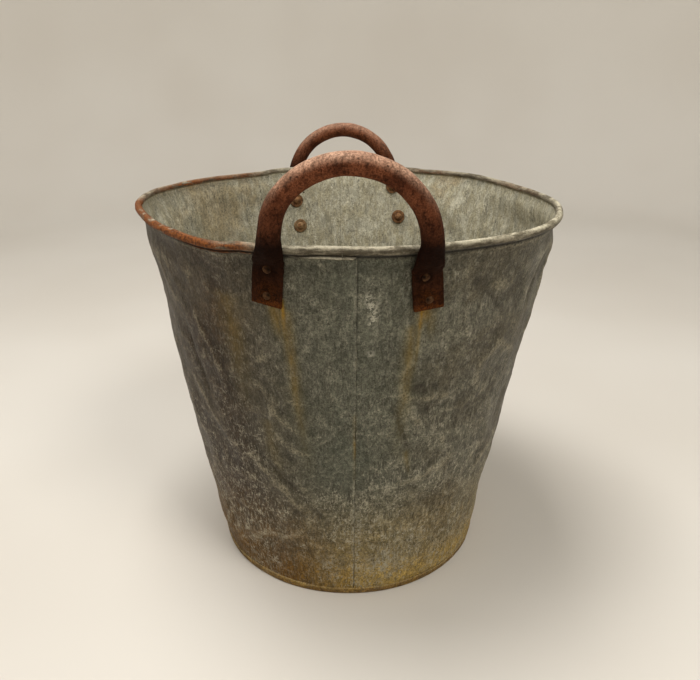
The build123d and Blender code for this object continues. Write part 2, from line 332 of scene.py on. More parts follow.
def sheet_shift(azimuth, z):
    """Outward and upward shift of the sheet metal at an azimuth and height."""
    azimuth, z = np.broadcast_arrays(azimuth, z)
    rim_out, rim_up = rim_shift(azimuth[:, :1])
    near_rim = RIM_Z - NEAR_RIM
    at_rim = smooth(RIM_Z - RIM_REACH, near_rim, z)
    slide = rim_up * smooth(RIM_Z - SAG_REACH, near_rim, z)
    out = wall_relief(azimuth, np.minimum(z, near_rim)) * (1 - at_rim)
    out += (rim_out - SLOPE * rim_up) * at_rim + SLOPE * slide
    return out, slide


SHARP_EDGE = 35.0  # degrees from which an edge of sheet metal is shaded sharp
SHARP_FORGED = 60.0  # the same for forged pieces
SAME_POINT = 0.5e-6  # points nearer than this become one
CAD_SAME_POINT = 2e-6  # the same, in the CAD nodes' own meshes


def thick_sheet(front, back, closed=False):
    """A solid sheet between two grids of points, indexed column, row. Closed joins its ends."""
    columns, rows = front.shape[:2]
    points = np.concatenate((front.reshape(-1, 3), back.reshape(-1, 3)))
    index = np.arange(columns * rows).reshape(columns, rows)
    if closed:
        index = np.concatenate((index, index[:1]))
    other = index + columns * rows

    def strip(a, b):
        """Quads between two lines of points."""
        return np.stack((a[:-1], a[1:], b[1:], b[:-1]), axis=-1).reshape(-1, 4)

    face = [strip(index[:, i], index[:, i + 1]) for i in range(rows - 1)]
    reverse = [strip(other[:, i + 1], other[:, i]) for i in range(rows - 1)]
    edges = [strip(other[:, 0], index[:, 0]), strip(index[:, -1], other[:, -1])]
    if not closed:
        edges += [strip(index[0], other[0]), strip(other[-1], index[-1])]
    return points, np.concatenate(face + reverse + edges)


def make_object(name, parts, material, paints, sharp=SHARP_EDGE):
    """A piece from (points, quads) parts, with its paints: attribute name to values."""
    points = np.concatenate([p for p, _ in parts])
    starts = np.cumsum([0] + [len(p) for p, _ in parts[:-1]])
    quads = np.concatenate([q + start for (_, q), start in zip(parts, starts)])
    mesh = bpy.data.meshes.new(name)
    mesh.from_pydata(points.tolist(), [], quads.tolist())
    return finish_mesh(name, mesh, material, paints, sharp)


def finish_mesh(name, mesh, material, paints, sharp):
    """Makes the piece of a mesh: paints, smooth shading with sharp edges, and material."""
    for attribute, values in paints.items():
        layer = mesh.attributes.new(attribute, "FLOAT", "POINT")
        layer.data.foreach_set("value", np.asarray(values, np.float32).ravel())
    work = bmesh.new()
    work.from_mesh(mesh)
    bmesh.ops.remove_doubles(work, verts=work.verts, dist=SAME_POINT)
    bmesh.ops.recalc_face_normals(work, faces=work.faces)
    if work.calc_volume(signed=True) < 0:
        bmesh.ops.reverse_faces(work, faces=work.faces)
    work.to_mesh(mesh)
    work.free()
    mesh.shade_smooth()
    mesh.set_sharp_from_angle(angle=math.radians(sharp))
    mesh.materials.append(material)
    piece = bpy.data.objects.new(name, mesh)
    bpy.context.scene.collection.objects.link(piece)
    return piece


def mount(piece, slot, *nodes):
    """Puts a piece on the bucket in place of its CAD nodes."""
    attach(piece, "root")
    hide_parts(*nodes)


# ------------------------------------------------------------------------ materials


def srgb(red, green, blue):
    """A shader colour from 0 to 255 display values."""
    return tuple(
        c / 12.92 if c <= 0.04045 else ((c + 0.055) / 1.055) ** 2.4
        for c in (red / 255, green / 255, blue / 255)
    ) + (1.0,)


class Shader:
    """A material under construction. Most methods add nodes and return their output."""

    def __init__(self, name, metallic, specular=0.4):
        self.material = bpy.data.materials.new(name)
        self.material.use_nodes = True
        self.tree = self.material.node_tree
        self.surface = self.tree.nodes["Principled BSDF"]
        self.surface.inputs["Metallic"].default_value = metallic
        self.surface.inputs["Specular IOR Level"].default_value = specular
        self.place = self.add("ShaderNodeTexCoord", {}, "Object")

    def feed(self, socket, value):
        """Links an output into a socket, or sets it to a number or colour."""
        if isinstance(value, bpy.types.NodeSocket):
            self.tree.links.new(value, socket)
        else:
            socket.default_value = value

    def add(self, kind, sockets, output, **settings):
        """A node with its settings and its sockets, by name or number. Returns one output."""
        node = self.tree.nodes.new(kind)
        for name, value in settings.items():
            setattr(node, name, value)
        for socket, value in sockets.items():
            self.feed(node.inputs[socket], value)
        return node.outputs[output]

    def stretched(self, stretch, turned=(0, 0, 0), offset=0.0):
        """Coordinates squeezed by a factor along each axis."""
        sockets = {
            "Vector": self.place,
            "Scale": stretch,
            "Rotation": [math.radians(a) for a in turned],
            "Location": (offset, offset, offset),
        }
        return self.add("ShaderNodeMapping", sockets, "Vector")

    def noise(self, size, detail, rough, where=None):
        """Cloudy noise about 0.5, with spots of the given size in millimetres."""
        sockets = {
            "Vector": where or self.place,
            "Scale": 1 / (size * MM),
            "Detail": detail,
            "Roughness": rough,
        }
        return self.add("ShaderNodeTexNoise", sockets, "Fac")

    def span(self, value, low, high, to_low=0.0, to_high=1.0):
        """Maps a value from low..high to to_low..to_high with soft ends."""
        sockets = {
            "Value": value,
            "From Min": low,
            "From Max": high,
            "To Min": to_low,
            "To Max": to_high,
        }
        return self.add("ShaderNodeMapRange", sockets, "Result", interpolation_type="SMOOTHSTEP")

    def line(self, value, width):
        """1 along the thin lines where a noise passes its middle value."""
        rise = self.span(value, 0.5 - width, 0.5)
        fall = self.span(value, 0.5, 0.5 + width, 1.0, 0.0)
        return self.product(rise, fall)

    def sum_of(self, *values):
        return self.fold("ADD", values)

    def product(self, *values):
        return self.fold("MULTIPLY", values)

    def fold(self, operation, values):
        """Joins several values with an operation."""
        total = values[0]
        for value in values[1:]:
            total = self.add("ShaderNodeMath", {0: total, 1: value}, "Value", operation=operation)
        return total

    def limit(self, value):
        """The value kept between 0 and 1."""
        settings = {"operation": "MULTIPLY", "use_clamp": True}
        return self.add("ShaderNodeMath", {0: value, 1: 1.0}, "Value", **settings)

    def mix(self, share, under, over, blend="MIX"):
        """Lays one colour over another by a share."""
        sockets = {"Factor": share, 6: under, 7: over}
        return self.add("ShaderNodeMix", sockets, 2, data_type="RGBA", blend_type=blend)

    def shaded(self, colour, brightness):
        """The colour times a brightness."""
        sockets = dict.fromkeys(("Red", "Green", "Blue"), brightness)
        grey = self.add("ShaderNodeCombineColor", sockets, "Color")
        return self.mix(1.0, colour, grey, "MULTIPLY")

    def paint(self, name):
        """A painted attribute, from 0 to 1."""
        return self.add("ShaderNodeAttribute", {}, "Fac", attribute_name=name)

    def lay(self, share, over):
        """Lays a colour over the surface's colour so far."""
        self.colour = self.mix(share, self.colour, over)

    def dress(self, roughness, bumps):
        """Finishes the material. Each bump lies on those before it: a height from 0 to 1, and
        its depth in millimetres."""
        self.feed(self.surface.inputs["Base Color"], self.colour)
        self.feed(self.surface.inputs["Roughness"], roughness)
        normal = {}
        for height, depth in bumps:
            sockets = {"Height": height, "Distance": depth * MM} | normal
            normal = {"Normal": self.add("ShaderNodeBump", sockets, "Normal")}
        self.feed(self.surface.inputs["Normal"], normal["Normal"])
        return self.material


def zinc_noises(s):
    """The noises that the zinc's layers share. Sizes are in millimetres."""
    upright = s.stretched((1, 1, 0.30))
    level = s.stretched((0.22, 0.22, 1.0), offset=0.4)
    leaning = s.stretched((1, 1, 0.45), turned=(20, 34, 0), offset=0.5)
    crossing = s.stretched((1, 1, 0.5), turned=(-24, 30, 0), offset=0.6)
    return SimpleNamespace(
        clouds=s.noise(80, 6, 0.62),
        patches=s.noise(20, 8, 0.70, leaning),
        blotches=s.noise(9, 7, 0.72),
        streaks=s.noise(9, 8, 0.74, upright),
        along=s.noise(5, 7, 0.74, level),
        strokes=s.noise(3.6, 6, 0.76, crossing),
        grain=s.noise(2.2, 6, 0.78),
        speckle=s.noise(0.9, 3, 0.7),
        rust_spots=s.noise(7, 7, 0.76, level),
    )


def zinc_outside(s, n):
    """Ground colour of the outside: warm and cool grey, with darker and lighter patches, and a
    brown cast that is also painted shade on the left.
    """
    s.colour = s.mix(s.span(n.clouds, 0.42, 0.58), srgb(84, 77, 61), srgb(99, 97, 83))
    s.lay(s.product(s.span(n.patches, 0.50, 0.62), 0.45), srgb(64, 57, 46))
    light = s.product(s.span(n.streaks, 0.50, 0.62), s.span(n.strokes, 0.44, 0.56, 0.2, 0.8))
    s.lay(light, srgb(128, 124, 110))
    brown = s.product(s.paint("brown"), s.span(n.clouds, 0.38, 0.58, 0.55, 1.0))
    s.lay(brown, srgb(56, 45, 34))
    green = s.product(s.paint("patina"), s.span(n.clouds, 0.40, 0.58, 0.95, 0.6))
    s.lay(green, srgb(78, 83, 72))


def zinc_inside(s, n):
    """The inside is paler and chalky, with smudges and stains."""
    inside = s.paint("inside")
    chalky = s.mix(s.span(n.streaks, 0.40, 0.60), srgb(158, 152, 128), srgb(182, 179, 160))
    s.lay(s.product(inside, 0.95), chalky)
    smudges = s.product(inside, s.span(n.patches, 0.50, 0.64), 0.5)
    s.lay(smudges, srgb(122, 121, 108))
    stains = s.product(inside, s.span(n.clouds, 0.53, 0.66), 0.45)
    s.lay(stains, srgb(160, 138, 98))


def zinc_mottling(s, n):
    """Fine light and dark, which also follows the dents: painted shade in the hollows and painted
    highlight on the ridges.
    """
    inside = s.paint("inside")
    relief = s.paint("relief")
    mottling = s.product(
        s.span(n.blotches, 0.38, 0.62, 0.86, 1.14),
        s.span(n.strokes, 0.40, 0.60, 0.76, 1.24),
        s.span(n.grain, 0.40, 0.60, 0.68, 1.34),
    )
    mottling = s.sum_of(mottling, s.span(n.speckle, 0.36, 0.64, -0.24, 0.24))
    contrast = s.span(inside, 0.0, 1.0, 1.0, 0.6)
    mottling = s.sum_of(s.product(mottling, contrast), s.product(inside, 0.4))
    # The relief paint brightens ridges and darkens hollows: painted highlight and painted shade
    # of the dents.
    s.colour = s.shaded(s.colour, s.product(mottling, s.span(relief, 0.0, 1.0, 0.78, 1.28)))
    # Painted shade in the dents' hollows.
    low = s.span(relief, 0.0, 0.30, 1.0, 0.0)
    hollows = s.product(low, s.span(n.grain, 0.40, 0.60, 0.1, 0.5))
    s.lay(hollows, srgb(50, 41, 30))
    # Painted highlight on the dents' ridges.
    ridges = s.product(s.span(relief, 0.70, 1.0), s.span(n.grain, 0.42, 0.56, 0.0, 0.6))
    s.lay(ridges, srgb(150, 142, 119))


def zinc_wear(s, n):
    """Shares of the pale scratches, curls and chips, and of the dark pits and cracks."""
    slanted = s.stretched((1, 1, 0.12), turned=(14, 26, 0), offset=0.3)
    counter = s.stretched((1, 1, 0.14), turned=(-18, -22, 0), offset=0.7)
    scratches = s.limit(
        s.sum_of(
            s.span(s.noise(1.3, 3, 0.6, slanted), 0.58, 0.63),
            s.span(s.noise(1.5, 3, 0.6, counter), 0.59, 0.64),
        )
    )
    curls = s.product(s.line(s.noise(11, 4, 0.6), 0.030), s.span(n.blotches, 0.49, 0.54))
    chips = s.noise(2.4, 5, 0.74, s.stretched((1, 1, 0.6), offset=0.1))
    flecks = s.product(s.span(chips, 0.555, 0.585), s.span(n.blotches, 0.50, 0.57))
    pale = s.sum_of(s.product(scratches, 0.6), curls, flecks)
    pale = s.product(pale, s.span(n.clouds, 0.44, 0.56, 0.30, 1.0), s.paint("flecked"))
    cracks = s.product(s.line(s.noise(16, 5, 0.6, slanted), 0.016), s.span(n.streaks, 0.45, 0.52))
    pits = s.span(s.noise(2.4, 6, 0.74), 0.575, 0.62)
    dark = s.limit(s.sum_of(s.product(pits, 0.6), s.product(cracks, 0.5)))
    return pale, dark


def zinc_bead(s, n):
    """The rolled bead: dull underneath and cream on its crown, partly wear and partly painted
    highlight.
    """
    dull = s.mix(s.span(n.along, 0.42, 0.58), srgb(66, 59, 46), srgb(118, 110, 92))
    cream = s.mix(s.span(n.along, 0.42, 0.57), srgb(120, 112, 92), srgb(196, 189, 165))
    bead = s.mix(s.paint("bead"), dull, cream)
    bead = s.shaded(bead, s.span(n.grain, 0.36, 0.64, 0.72, 1.2))
    s.lay(s.span(s.paint("bead"), 0.0, 0.10), bead)


def zinc_material():
    """Old galvanised sheet: mottled grey-green, dirt, scratches, white oxide, rust and drips,
    with painted shade and highlight.
    """
    s = Shader("weathered_zinc", metallic=0.12, specular=0.22)
    n = zinc_noises(s)
    zinc_outside(s, n)
    zinc_inside(s, n)

    dirt = s.limit(s.product(s.paint("grime"), s.span(n.streaks, 0.38, 0.60, 0.62, 1.1)))
    mud = s.mix(s.paint("pale_dirt"), srgb(99, 68, 16), srgb(168, 141, 74))
    s.lay(s.product(dirt, 0.92), mud)
    zinc_mottling(s, n)

    pale_wear, dark_wear = zinc_wear(s, n)
    s.lay(s.limit(pale_wear), srgb(174, 168, 148))
    s.lay(dark_wear, srgb(36, 30, 23))

    flakes = s.span(s.noise(3.4, 6, 0.76), 0.49, 0.53)
    bloom = s.limit(s.product(s.paint("bloom"), flakes, 1.5))
    s.lay(bloom, srgb(168, 165, 149))

    drip = s.limit(s.product(s.paint("ochre"), s.span(n.streaks, 0.40, 0.58, 0.65, 1.25)))
    ochre = s.mix(s.paint("ochre"), srgb(92, 86, 42), srgb(146, 110, 30))
    s.lay(drip, s.shaded(ochre, s.span(n.grain, 0.38, 0.62, 0.8, 1.15)))

    zinc_bead(s, n)
    rust = s.limit(s.product(s.paint("rust"), s.span(n.rust_spots, 0.40, 0.50, 0.1, 1.4)))
    rusty = s.mix(s.span(n.grain, 0.38, 0.62), srgb(74, 38, 16), srgb(142, 84, 38))
    s.lay(rust, rusty)
    s.lay(s.paint("shadow"), srgb(18, 15, 11))

    roughness = s.sum_of(
        s.span(n.patches, 0.40, 0.60, 0.48, 0.62), s.product(dirt, 0.14), s.product(rust, 0.2)
    )
    rough_skin = s.sum_of(n.grain, s.product(n.speckle, 0.35), s.product(pale_wear, 0.6))
    rust_skin = s.product(rust, n.grain)
    bumps = ((n.patches, 1.2), (n.blotches, 0.6), (rough_skin, 0.34), (rust_skin, 0.5))
    return s.dress(roughness, bumps)


def iron_material(name):
    """Rusty forged bar: brown, worn smooth and with a painted highlight on top, almost black
    lower down, partly as painted shade, and pitted.
    """
    s = Shader(name, metallic=0.0, specular=0.03)
    clouds = s.noise(30, 6, 0.62)
    along = s.noise(7, 7, 0.72, s.stretched((1, 1, 0.4)))
    grain = s.noise(1.6, 6, 0.78)
    pitting = s.noise(3.0, 6, 0.74)

    s.colour = s.mix(s.span(clouds, 0.42, 0.58), srgb(76, 41, 25), srgb(104, 61, 40))
    s.lay(s.product(s.span(along, 0.50, 0.62), 0.7), srgb(50, 26, 15))
    # Worn and painted highlight on top of the bar.
    polish_and_highlight = s.product(s.paint("worn_and_highlit"), s.span(along, 0.40, 0.58, 0.95, 0.55))
    s.lay(polish_and_highlight, srgb(184, 148, 124))
    # Black: dark rust, and on the handles also painted shade low on the legs and round the
    # rivets.
    s.lay(s.paint("black"), srgb(16, 5, 2))
    orange = s.limit(s.product(s.paint("orange"), s.span(pitting, 0.42, 0.54, 0.1, 1.3)))
    s.lay(orange, srgb(88, 48, 17))
    s.colour = s.shaded(s.colour, s.span(grain, 0.38, 0.62, 0.60, 1.44))
    pits = s.span(pitting, 0.58, 0.63)
    s.lay(s.product(pits, 0.6), srgb(18, 9, 5))

    roughness = s.sum_of(s.span(along, 0.40, 0.60, 0.52, 0.68), s.product(s.paint("worn_and_highlit"), -0.20))
    pitted = s.sum_of(pits, s.product(grain, -0.8))
    return s.dress(roughness, ((clouds, 0.9), (along, 0.35), (pitted, 0.3)))


def fixing_material():
    """Rusty rivets and washers, some with a tan crust."""
    s = Shader("rusted_fixings", metallic=0.0, specular=0.05)
    crust = s.noise(4.5, 5, 0.65)
    grain = s.noise(1.1, 5, 0.7)
    s.colour = s.mix(s.span(crust, 0.36, 0.62), srgb(74, 48, 32), srgb(124, 90, 60))
    s.lay(s.paint("tan"), srgb(150, 126, 92))
    s.lay(s.paint("black"), srgb(12, 4, 2))
    s.colour = s.shaded(s.colour, s.span(grain, 0.28, 0.72, 0.70, 1.30))
    crusty = s.sum_of(s.product(crust, 0.6), grain)
    return s.dress(s.span(crust, 0.3, 0.7, 0.58, 0.78), ((crusty, 0.35),))


def wire_material():
    """Bare steel wire under the roll, dull and browned."""
    s = Shader("dull_wire", metallic=0.6)
    bands = s.noise(6, 5, 0.6)
    grain = s.noise(0.9, 4, 0.6)
    s.colour = s.mix(s.span(bands, 0.38, 0.62), srgb(70, 58, 47), srgb(110, 100, 86))
    return s.dress(s.span(grain, 0.3, 0.7, 0.45, 0.65), ((grain, 0.12),))


def stage_material(name, light, dark):
    """Plain matt floor with the faintest clouding."""
    s = Shader(name, metallic=0.0, specular=0.2)
    soft = s.noise(600, 2, 0.5)
    s.colour = s.mix(s.span(soft, 0.3, 0.7), light, dark)
    return s.dress(s.span(soft, 0.3, 0.7, 0.75, 0.85), ((s.noise(3, 3, 0.55), 0.02),))


zinc = zinc_material()


# ---------------------------------------------------------------- the two wall panels


def hanging(azimuth):
    """How much the raw edge of the roll hangs down, from 0 where it is tucked in to 1."""
    share = np.zeros(np.shape(azimuth))
    for start, end, most in HANGING_LIPS:
        opening = smooth(start, start + 0.8 * (end - start), azimuth)
        closing = 1 - smooth(end - 0.6, end, azimuth)
        share = np.maximum(share, most * opening * closing)
    return share


def roll_bearings():
    """Bearings of the roll's rows round the wire, from the wall to the raw edge."""
    set_off = 180 - TAPER + ROLL_SET
    fixed = np.linspace(set_off, LIP_START, ROLL_ROWS - LIP_ROWS, endpoint=False)
    return np.concatenate((fixed, np.linspace(LIP_START, ROLL_END, LIP_ROWS)))


def roll_section(azimuth):
    """Offsets from the wire's centre to the two faces of the roll, inner face first.
    Each is (columns, rows, 2): outwards and upwards. Rows run from the wall to the raw edge."""
    bearing = roll_bearings()
    ring = np.stack((np.cos(np.radians(bearing)), np.sin(np.radians(bearing))), axis=-1)
    here = on_round(azimuth, RING_R, RIM_Z)
    uneven = edge_noise.layered(here, 26 * MM, 3)[:, None, None]
    beaten = edge_noise.ridged(here + 1.0, 34 * MM)[:, None, None]
    growth = (0.25 * uneven - 0.35 * beaten * np.maximum(ring[:, :1], 0)) * MM
    growth = growth * smooth(0, 6, np.arange(ROLL_ROWS))[:, None]
    inner = ring * (WIRE_R + FIT_GAP) + growth * ring
    outer = ring * BEAD_R + growth * ring
    # The end of the roll can hang down and flare out, instead of lying against the wire.
    tail = np.clip((bearing - LIP_START) / (ROLL_END - LIP_START), 0, 1)
    drop = LIP_DROP + 0.5 * edge_noise.layered(here + 2.0, 20 * MM, 2)[:, None]
    outwards = LIP_FLARE * tail**2 - LIP_HOLLOW * tail
    start = math.radians(LIP_START)
    leave = BEAD_R * np.array((math.cos(start), math.sin(start)))
    fallen = leave + np.stack(np.broadcast_arrays(outwards, -drop * tail), axis=-1) * MM
    share = hanging(azimuth)[:, None, None] * (tail > 0)[:, None]
    outer = outer + (fallen - outer) * share
    along = np.gradient(outer, axis=1)
    along /= np.linalg.norm(along, axis=2, keepdims=True)
    facing = np.stack((-along[..., 1], along[..., 0]), axis=-1)
    inner = np.where(share > 0.02, outer - SHEET * facing, inner)
    return inner, outer


def wall_grids(start, end):
    """Outer and inner face of a panel from one azimuth to another: wall rows, then the roll."""
    azimuth = np.linspace(start, end, round((end - start) / AZIMUTH_STEP) + 1)
    beside_lap = start + LAP + np.array(BESIDE_LAP)
    azimuth = np.unique(np.concatenate((azimuth, beside_lap)))[:, None]
    roll_in, roll_out = roll_section(azimuth[:, 0])
    top = RIM_Z + roll_out[0, 0, 1]
    z = np.linspace(FOOT_EDGE, top, round((top - FOOT_EDGE) / WALL_STEP) + 1)[:-1]
    out, up = sheet_shift(azimuth, z)
    across = SHEET / math.cos(math.radians(TAPER))
    # Under the bead the sheet steps outwards, to come up to the middle of the wire.
    step = RING_R + roll_out[0, 0, 0] - (wall_radius(top) - across)
    out = out + step * smooth(top - NECK, top, z)
    outer = on_round(azimuth, wall_radius(z) + out, z + up)
    inner = on_round(azimuth, wall_radius(z) + out - across, z + up)
    rim_out, rim_up = rim_shift(azimuth)
    faces = []
    for wall, roll in ((outer, roll_in), (inner, roll_out)):
        ring = on_round(azimuth, RING_R + rim_out + roll[..., 0], RIM_Z + rim_up + roll[..., 1])
        faces.append(np.concatenate((wall, ring), axis=1))
    return azimuth, z, faces


def lap_grids(butt):
    """The flange along a seam: it leaves its own panel before the butt and lies on the next."""
    azimuth = butt + np.array(LAP_COLUMNS)[:, None]
    rows = round((LAP_TOP - LAP_FOOT) / WALL_STEP) + 1
    z = np.linspace(LAP_FOOT, LAP_TOP, rows)
    edge = on_round(np.array((butt + LAP,)), wall_radius(z), z)
    wander = 0.25 * edge_noise.layered(edge, 40 * MM, 3)
    share = smooth(0.5, LAP, azimuth - butt)
    azimuth = azimuth + wander * share
    out, up = sheet_shift(np.broadcast_to(azimuth, (len(azimuth), rows)), z)
    lift = smooth(butt - 0.8, butt, azimuth) * (SHEET + FIT_GAP)
    lift = lift + LAP_FLARE * smooth(LAP_TOP - NECK, LAP_TOP, z)
    spring = np.maximum(edge_noise.layered(edge + 3.0, 70 * MM, 2), -0.1) * 0.5 * MM
    radius = wall_radius(z) + out + lift + spring * smooth(0.5, LAP, azimuth - butt) - LAP_SINK
    outer = on_round(azimuth, radius, z + up)
    inner = on_round(azimuth, radius - SHEET + LAP_THINNING, z + up)
    return azimuth, z, (outer, inner)


RELIEF_PASSES = 14
RELIEF_HEIGHT = 1.2 * MM  # from the bottom of a hollow to the top of a ridge, in the paint


def blurred(values):
    """Values of a grid averaged with their neighbours, again and again."""
    for _ in range(RELIEF_PASSES):
        padded = np.pad(values, 1, mode="edge")
        values = (
            padded[:-2, 1:-1] + padded[2:, 1:-1] + padded[1:-1, :-2] + padded[1:-1, 2:]
        ) / 4
    return values


ZINC_PAINTS = (
    "brown",  # dark brown cast, heavier on the left as painted shade
    "patina",  # grey-green cast
    "pale_dirt",  # how pale the dirt is
    "inside",  # chalky inner face
    "grime",  # dirt
    "relief",  # 0 in the hollows, 1 on the ridges: drives the dents' painted shade and highlight
    "flecked",  # scratches and chips
    "bloom",  # white oxide
    "ochre",  # drips of rusty water
    "bead",  # rolled bead: 1 on its crown and a hanging lip's edge, worn and painted highlight
    "rust",
    "shadow",  # painted shade in gaps, under the bead and on hidden faces, with some grime in the seams' crevices; almost black
)
# Drips of rusty water: azimuth and height of the top, length, width, drift, strength.
# Heights and lengths are in millimetres, widths and drifts in degrees.
DRIPS = (
    (254.6, 360, 62, 0.55, 0.5, 1.0),
    (254.9, 330, 110, 0.4, 2.2, 0.6),
    (252.2, 356, 52, 2.0, 2.2, 0.55),
    (255.2, 350, 200, 1.6, 3.2, 0.48),
    (287.7, 356, 46, 0.8, -0.4, 1.0),
    (287.5, 335, 80, 0.5, -0.8, 0.55),
    (288.6, 349, 22, 2.4, 0.0, 0.6),
    (285.6, 335, 170, 1.8, -1.2, 0.42),
    (290.5, 348, 40, 1.4, 0.3, 0.35),
    (239.0, 360, 150, 3.6, 1.0, 0.34),
    (246.0, 230, 90, 2.2, 3.0, 0.26),
    (271.9, 215, 34, 0.3, 0.1, 0.9),
    (271.8, 245, 120, 0.5, 0.1, 0.4),
    (287.5, 196, 40, 0.9, 3.0, 0.4),
)
# Patches of white oxide: azimuth, height, spread round (degrees), spread up, strength.
BLOOMS = (
    (274.6, 361, 0.8, 5, 0.9),
    (275.6, 353, 1.0, 6, 1.0),
    (276.2, 345, 1.0, 4, 0.8),
    (275.4, 339, 0.9, 4, 0.8),
    (275.6, 308, 1.0, 2.5, 0.7),
    (262.4, 357, 0.6, 3, 0.4),
    (330.0, 372, 4.0, 8, 0.35),
    (273.4, 70, 0.9, 60, 0.42),
    (263.0, 40, 3.0, 16, 0.35),
    (284.0, 42, 9.0, 20, 0.35),
)


def paint_set(shape, **values):
    """All the zinc's paints for a grid of points. The ones that aren't given are 0."""
    return {name: np.broadcast_to(values.get(name, 0.0), shape) for name in ZINC_PAINTS}


def drip_paint(azimuth, z):
    """How strongly the drips colour the wall."""
    paint = np.zeros(np.broadcast_shapes(np.shape(azimuth), np.shape(z)))
    for a, top, length, width, drift, strength in DRIPS:
        fall = (top - z / MM) / length
        centre = a + drift * np.clip(fall, 0, 1) ** 1.5
        flow = smooth(-0.02, 0.03, fall) * (1 - smooth(0.25, 1.0, fall))
        paint = np.maximum(paint, strength * flow * bell(turn(azimuth, centre), width))
    return paint


def bloom_paint(azimuth, z):
    """How much white oxide lies on the wall."""
    return sum(
        strength * bell(turn(azimuth, a), around) * bell(z / MM - h, up)
        for a, h, around, up, strength in BLOOMS
    )


def wall_paints(azimuth, z, relief, inside):
    """Paint of the wall's rows for a face of the sheet."""
    azimuth, z = np.broadcast_arrays(azimuth, z)
    outside = 1 - inside
    from_front = turn(azimuth, 271)
    left = bell(turn(azimuth, 222), 32)
    right = bell(turn(azimuth, 325), 30) * smooth(100 * MM, 240 * MM, z)
    low = 1 - smooth(20 * MM, 165 * MM, z)
    foot = 1 - smooth(4 * MM, 55 * MM, z)
    rightwards = np.cos(np.radians(azimuth))
    side = smooth(0.86, -0.86, rightwards)
    deep = 0.8 * (1 - smooth(10 * MM, 90 * MM, z))
    smear = bell(turn(azimuth, 236), 7) * bell(z / MM - 332, 30)
    grime = low * (0.40 + 0.45 * side) + 0.8 * foot + 0.3 * smear
    # Painted shade: a dark band just under the bead, and a thin dark line beside each flange's
    # edge, partly grime in that crevice.
    under = 0.95 * smooth(RIM_Z - 8 * MM, RIM_Z - 5.5 * MM, z)
    spotty = 0.55 + 0.9 * edge_noise.layered(on_round(azimuth, NOISE_R, z), 16 * MM, 3)
    for butt in (FRONT_BUTT, REAR_BUTT):
        beyond = turn(azimuth, butt + LAP)
        crevice = smooth(-0.3, -0.1, beyond) * (1 - smooth(0.05, 0.42, beyond))
        crevice = crevice * np.clip(spotty, 0.4, 1)
        under = np.maximum(under, 0.9 * crevice * (z < LAP_TOP))
    patina = bell(from_front, 20) * (0.78 - 0.3 * low) + 0.2 * right
    flecked = 0.24 + 0.85 * (1 - smooth(10 * MM, 320 * MM, z))
    return paint_set(
        z.shape,
        # Heavier on the left: a brown cast that is also painted shade on that side.
        brown=outside * np.clip(left * smooth(15 * MM, 130 * MM, z) + 0.25 * right + 0.1, 0, 1),
        patina=outside * patina,
        pale_dirt=smooth(-0.48, 0.28, rightwards),
        # The chalky inside is thinner round azimuth 150: painted shade on the inner left side.
        inside=inside * (1 - 0.22 * bell(turn(azimuth, 150), 42)),
        grime=np.clip(outside * grime + inside * deep, 0, 1),
        relief=relief,
        flecked=outside * flecked + inside * 0.3,
        bloom=outside * np.clip(bloom_paint(azimuth, z), 0, 1),
        ochre=outside * drip_paint(azimuth, z),
        shadow=outside * under,
    )


# Rust on the bead: azimuth, spread, strength.
BEAD_RUST = (
    (212, 15, 1.0),
    (232, 11, 1.0),
    (193, 10, 0.9),
    (154, 14, 0.75),
    (132, 9, 0.5),
    (246, 5, 0.45),
    (20, 12, 0.25),
    (60, 7, 0.3),
)


def bead_rust(azimuth):
    """How rusty the bead is."""
    return np.clip(sum(s * bell(turn(azimuth, a), w) for a, w, s in BEAD_RUST), 0, 1)


def roll_paints(azimuth, inside):
    """Paint of the roll's rows: the visible bead for the inner face of the sheet."""
    bearing = roll_bearings()[None, :]
    azimuth, bearing = np.broadcast_arrays(azimuth, bearing)
    shown = inside * smooth(180 - TAPER + ROLL_SET, 180, bearing)
    lit_worn_crown = bell(bearing - 82, 46)  # the top of the bead, worn and with a painted highlight
    # Stronger towards the right front, where the light falls: painted highlight.
    lit_worn_crown = lit_worn_crown * (0.62 + 0.5 * bell(turn(azimuth, 325), 38))
    tail = np.clip((bearing - LIP_START) / (ROLL_END - LIP_START), 0, 1)
    lip = hanging(azimuth)
    # Painted highlight along a hanging lip's edge; painted shade in the gap between lip and bead,
    # and under a tucked-in edge.
    lip_highlight = lip * smooth(0.55, 0.9, tail)
    gap = smooth(0.02, 0.3, lip) * bell(tail - 0.32, 0.3) * (tail > 0)
    tucked = (1 - lip) * smooth(-25, -65, bearing)
    return paint_set(
        bearing.shape,
        patina=0.2,
        inside=inside * (1 - smooth(200, 150, bearing)),
        relief=0.5,
        flecked=0.3,
        ochre=0.25 * shown * bead_rust(azimuth),
        bead=shown * np.clip(0.10 + lit_worn_crown + 0.8 * lip_highlight, 0, 1),
        rust=bead_rust(azimuth) * np.clip(shown, 0.3, 1) * (1 - 0.55 * lit_worn_crown),
        # Painted shade: hidden faces of the roll, the lip's gap and under the tucked-in edge.
        shadow=np.clip(0.5 * (1 - inside) + 0.95 * gap + 0.85 * tucked * inside, 0, 0.95),
    )


def side_by_side(*paints):
    """Joins the paints of wall rows and roll rows of the same columns."""
    return {name: np.concatenate([p[name] for p in paints], axis=1) for name in paints[0]}


def end_to_end(*paints):
    """Joins the paints of several grids, one after the other."""
    return {name: np.concatenate([p[name].ravel() for p in paints]) for name in paints[0]}


